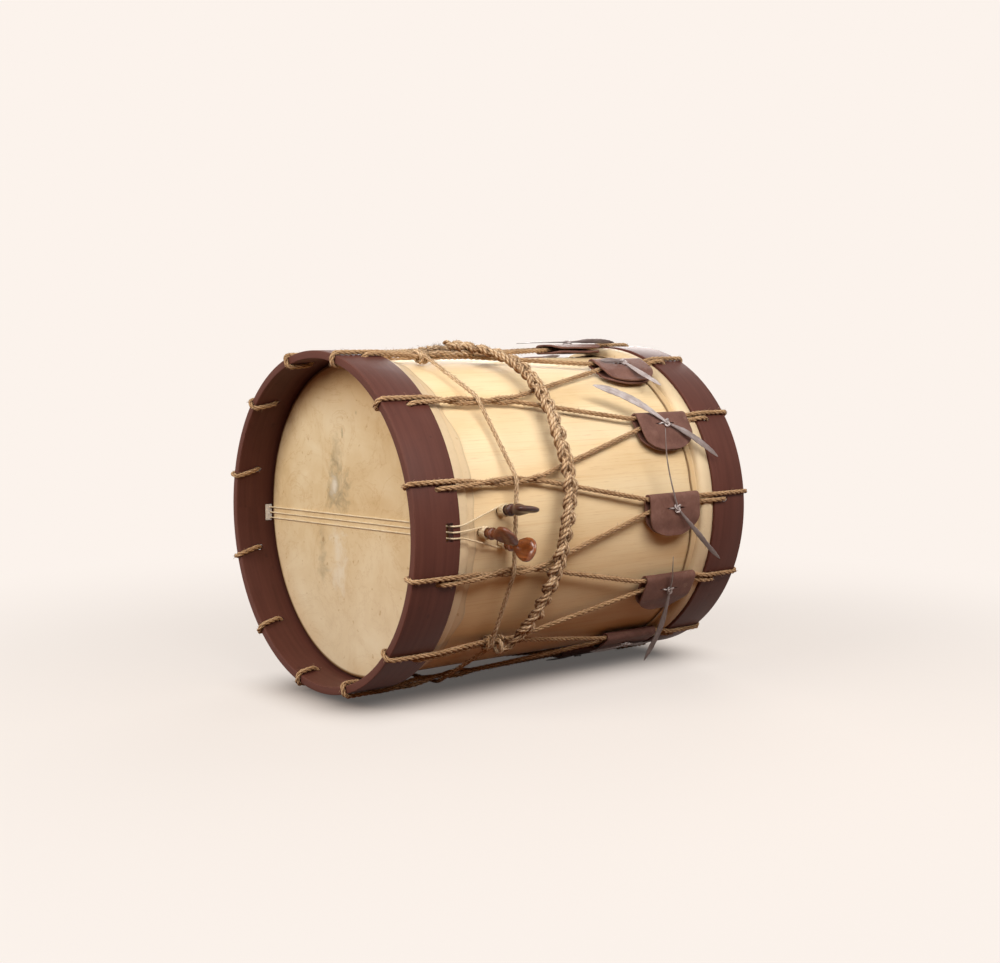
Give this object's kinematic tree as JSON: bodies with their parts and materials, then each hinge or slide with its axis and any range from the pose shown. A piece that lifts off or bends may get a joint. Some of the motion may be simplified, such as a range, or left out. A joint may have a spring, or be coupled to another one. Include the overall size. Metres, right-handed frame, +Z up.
{
  "type": "tabor drum",
  "caption": "Rope-tensioned tabor drum with lapped skins, counter hoops, sliding leather tug ears, gut snares on turned pegs and a plaited rope sling.",
  "frame": {"origin": "middle of the foot of the lying drum's box, without the loose sling", "axes": "+Y along the drum's axis from the snare head to the rear head, +Z up, +X to the flank with the snare pegs"},
  "size_m": [0.3476, 0.3954, 0.319],
  "materials": {
    "shell_wood": "clear satin lacquer on pale plywood",
    "hoop_wood": "dark red-brown stain, satin",
    "flesh_hoop_wood": "raw bent wood",
    "peg_wood": "turned and polished",
    "skin": "calfskin, untanned, smooth",
    "ear_leather": "dark brown oiled leather",
    "lace_leather": "grey-brown thong leather",
    "rope": "natural hemp rope, hairy",
    "gut": "twisted gut string",
    "toggle_bone": "polished bone"
  },
  "bodies": {
    "drum": {"shell": "shell_wood", "front_hoop": "hoop_wood", "rear_hoop": "hoop_wood", "front_head": "skin", "rear_head": "skin", "front_flesh_hoop": "flesh_hoop_wood", "rear_flesh_hoop": "flesh_hoop_wood", "tension_rope_01": "rope", "tension_rope_02": "rope", "tension_rope_03": "rope", "tension_rope_04": "rope", "tension_rope_05": "rope", "tension_rope_06": "rope", "tension_rope_07": "rope", "tension_rope_08": "rope", "tension_rope_09": "rope", "tension_rope_10": "rope", "tension_rope_11": "rope", "tension_rope_12": "rope", "waist_rope": "rope", "carry_braid": "rope", "snare_gut_1": "gut", "snare_gut_2": "gut", "snare_gut_3": "gut", "snare_toggle": "toggle_bone"},
    "ear_01": {"tug_ear_01": "ear_leather", "ear_lace_01": "lace_leather"},
    "ear_02": {"tug_ear_02": "ear_leather", "ear_lace_02": "lace_leather"},
    "ear_03": {"tug_ear_03": "ear_leather", "ear_lace_03": "lace_leather"},
    "ear_04": {"tug_ear_04": "ear_leather", "ear_lace_04": "lace_leather"},
    "ear_05": {"tug_ear_05": "ear_leather", "ear_lace_05": "lace_leather"},
    "ear_06": {"tug_ear_06": "ear_leather", "ear_lace_06": "lace_leather"},
    "ear_07": {"tug_ear_07": "ear_leather", "ear_lace_07": "lace_leather"},
    "ear_08": {"tug_ear_08": "ear_leather", "ear_lace_08": "lace_leather"},
    "ear_09": {"tug_ear_09": "ear_leather", "ear_lace_09": "lace_leather"},
    "ear_10": {"tug_ear_10": "ear_leather", "ear_lace_10": "lace_leather"},
    "ear_11": {"tug_ear_11": "ear_leather", "ear_lace_11": "lace_leather"},
    "ear_12": {"tug_ear_12": "ear_leather", "ear_lace_12": "lace_leather"},
    "peg_1": {"snare_peg_1": "peg_wood", "peg_winding_1": "gut"},
    "peg_2": {"snare_peg_2": "peg_wood", "peg_winding_2": "gut"},
    "peg_3": {"snare_peg_3": "peg_wood", "peg_winding_3": "gut"}
  },
  "joints": [
    {"name": "ear_slide_01", "type": "slide", "parent": "drum", "child": "ear_01", "axis": [0, 1, 0], "range_m": [-0.011, 0.0095]},
    {"name": "ear_slide_02", "type": "slide", "parent": "drum", "child": "ear_02", "axis": [0, 1, 0], "range_m": [-0.0195, 0.001]},
    {"name": "ear_slide_03", "type": "slide", "parent": "drum", "child": "ear_03", "axis": [0, 1, 0], "range_m": [-0.0195, 0.001]},
    {"name": "ear_slide_04", "type": "slide", "parent": "drum", "child": "ear_04", "axis": [0, 1, 0], "range_m": [-0.018, 0.0025]},
    {"name": "ear_slide_05", "type": "slide", "parent": "drum", "child": "ear_05", "axis": [0, 1, 0], "range_m": [-0.016, 0.0045]},
    {"name": "ear_slide_06", "type": "slide", "parent": "drum", "child": "ear_06", "axis": [0, 1, 0], "range_m": [-0.0195, 0.001]},
    {"name": "ear_slide_07", "type": "slide", "parent": "drum", "child": "ear_07", "axis": [0, 1, 0], "range_m": [-0.019, 0.0015]},
    {"name": "ear_slide_08", "type": "slide", "parent": "drum", "child": "ear_08", "axis": [0, 1, 0], "range_m": [-0.012, 0.0085]},
    {"name": "ear_slide_09", "type": "slide", "parent": "drum", "child": "ear_09", "axis": [0, 1, 0], "range_m": [-0.017, 0.0035]},
    {"name": "ear_slide_10", "type": "slide", "parent": "drum", "child": "ear_10", "axis": [0, 1, 0], "range_m": [-0.0195, 0.001]},
    {"name": "ear_slide_11", "type": "slide", "parent": "drum", "child": "ear_11", "axis": [0, 1, 0], "range_m": [-0.015, 0.0055]},
    {"name": "ear_slide_12", "type": "slide", "parent": "drum", "child": "ear_12", "axis": [0, 1, 0], "range_m": [-0.0195, 0.001]},
    {"name": "peg_turn_1", "type": "hinge", "parent": "drum", "child": "peg_1", "pos_m": [0.12569, -0.09636, 0.17508], "axis": [0.9923, 0, 0.1236], "continuous": true},
    {"name": "peg_turn_2", "type": "hinge", "parent": "drum", "child": "peg_2", "pos_m": [0.12678, -0.11736, 0.15847], "axis": [1, 0, 0.007], "continuous": true},
    {"name": "peg_turn_3", "type": "hinge", "parent": "drum", "child": "peg_3", "pos_m": [0.12647, -0.09636, 0.14803], "axis": [0.9978, 0, -0.0663], "continuous": true}
  ]
}
